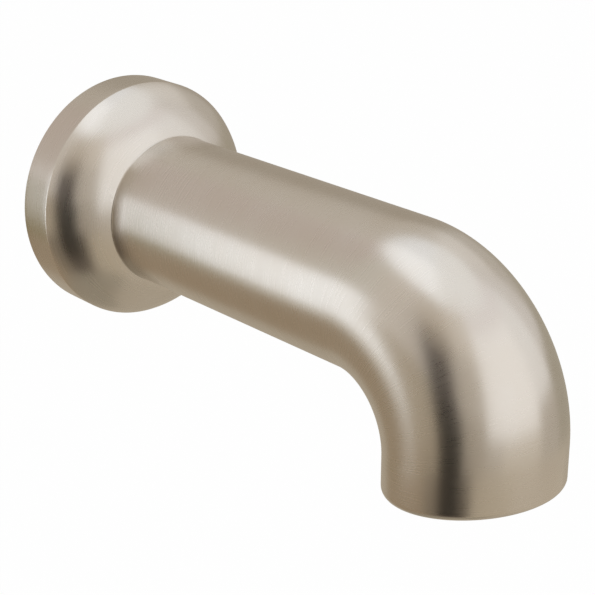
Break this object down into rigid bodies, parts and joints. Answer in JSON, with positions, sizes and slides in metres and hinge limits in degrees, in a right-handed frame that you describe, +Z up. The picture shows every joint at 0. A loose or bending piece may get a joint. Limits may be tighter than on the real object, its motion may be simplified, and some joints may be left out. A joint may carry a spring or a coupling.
{
  "type": "wall mounted bath faucet",
  "caption": "Elbow-shaped bath spout with a domed wall flange and a round downturned mouth, slid over a brass pipe adapter and held by a set screw, with a screw-in flow insert.",
  "frame": {"origin": "centre of the wall flange's back face, on the wall's surface", "axes": "+Z up, +Y into the wall, -Y out along the tube, +X to the right when looking at the wall"},
  "size_m": [0.0762, 0.1821, 0.0871],
  "materials": {
    "brushed_nickel": "warm brushed nickel on cast brass",
    "machined_brass": "machined",
    "plated_brass": "nickel plated, turned",
    "dark_steel": "blackened",
    "stainless_mesh": "woven wire",
    "black_rubber": "moulded",
    "grey_foam": "closed-cell foam",
    "grey_polymer": "moulded",
    "white_polymer": "moulded"
  },
  "bodies": {
    "wall_adapter": {"inlet_adapter": "machined_brass", "adapter_o_ring_rear": "black_rubber", "adapter_o_ring_front": "black_rubber"},
    "spout": {"spout_body": "brushed_nickel", "wall_gasket": "grey_foam", "socket_bushing": "machined_brass", "bushing_o_ring": "black_rubber", "waterway_elbow": "grey_polymer", "collar_o_ring": "black_rubber", "mouth_collar": "plated_brass"},
    "set_screw": {"set_screw": "dark_steel"},
    "flow_insert": {"insert_housing": "white_polymer", "lower_screen": "stainless_mesh", "straightener_core": "white_polymer", "upper_screen": "stainless_mesh", "insert_seal_washer": "black_rubber"}
  },
  "joints": [
    {"name": "spout_pull_off", "type": "slide", "parent": "wall_adapter", "child": "spout", "axis": [0, -1, 0], "range_m": [0, 0.06]},
    {"name": "set_screw_turn", "type": "hinge", "parent": "spout", "child": "set_screw", "pos_m": [0, -0.036, -0.0215], "axis": [0, 0, -1], "range_deg": [0, 720]},
    {"name": "insert_removal", "type": "slide", "parent": "spout", "child": "flow_insert", "axis": [0, -0.1461, -0.9893], "range_m": [0, 0.015]}
  ]
}
